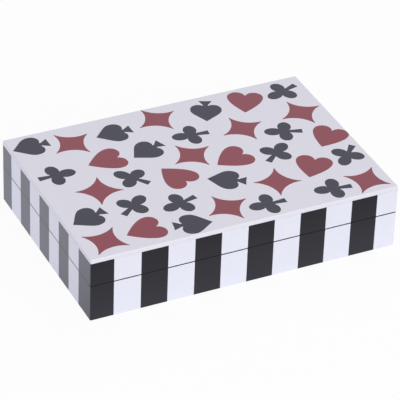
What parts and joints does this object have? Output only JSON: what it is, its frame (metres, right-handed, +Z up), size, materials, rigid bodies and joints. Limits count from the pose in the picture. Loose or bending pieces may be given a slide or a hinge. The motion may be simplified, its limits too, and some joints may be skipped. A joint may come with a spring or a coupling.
{
  "type": "playing card box",
  "caption": "Flat rectangular box for two decks of playing cards: a hinged lid with inlaid card suits, striped sides, and a divided, felt-lined inside.",
  "frame": {"origin": "centre of the underside, at the face it rests on", "axes": "+X to the right along the long front, +Y from the front to the hinged back, +Z up"},
  "size_m": [0.168, 0.1177, 0.036],
  "materials": {
    "white_resin": "polished",
    "black_resin": "polished",
    "red_resin": "polished",
    "fibreboard": "painted black, satin",
    "felt": "felt",
    "brass": "polished"
  },
  "bodies": {
    "base": {"base_front_wall": "fibreboard", "base_back_wall": "fibreboard", "base_left_wall": "fibreboard", "base_right_wall": "fibreboard", "base_floor_panel": "fibreboard", "underside_felt": "felt", "deck_divider": "fibreboard", "left_bay_pad": "felt", "right_bay_pad": "felt", "base_wall_lining": "felt", "base_front_black_strips": "black_resin", "base_front_white_strips": "white_resin", "base_back_black_strips": "black_resin", "base_back_white_strips": "white_resin", "base_left_black_strips": "black_resin", "base_left_white_strips": "white_resin", "base_right_black_strips": "black_resin", "base_right_white_strips": "white_resin", "left_hinge_base_leaf": "brass", "right_hinge_base_leaf": "brass", "left_hinge_pin": "brass", "right_hinge_pin": "brass", "hinge_base_screws": "brass"},
    "lid": {"lid_front_wall": "fibreboard", "lid_back_wall": "fibreboard", "lid_left_wall": "fibreboard", "lid_right_wall": "fibreboard", "lid_roof_panel": "fibreboard", "lid_top_sheet": "white_resin", "spade_inlays": "black_resin", "heart_inlays": "red_resin", "club_inlays": "black_resin", "diamond_inlays": "red_resin", "lid_roof_felt": "felt", "lid_wall_lining": "felt", "lid_front_black_strips": "black_resin", "lid_front_white_strips": "white_resin", "lid_back_black_strips": "black_resin", "lid_back_white_strips": "white_resin", "lid_left_black_strips": "black_resin", "lid_left_white_strips": "white_resin", "lid_right_black_strips": "black_resin", "lid_right_white_strips": "white_resin", "left_hinge_lid_leaf": "brass", "right_hinge_lid_leaf": "brass", "hinge_lid_screws": "brass"}
  },
  "joints": [
    {"name": "lid_hinge", "type": "hinge", "parent": "base", "child": "lid", "pos_m": [0, 0.0579, 0.0204], "axis": [-1, 0, 0], "range_deg": [0, 95]}
  ]
}
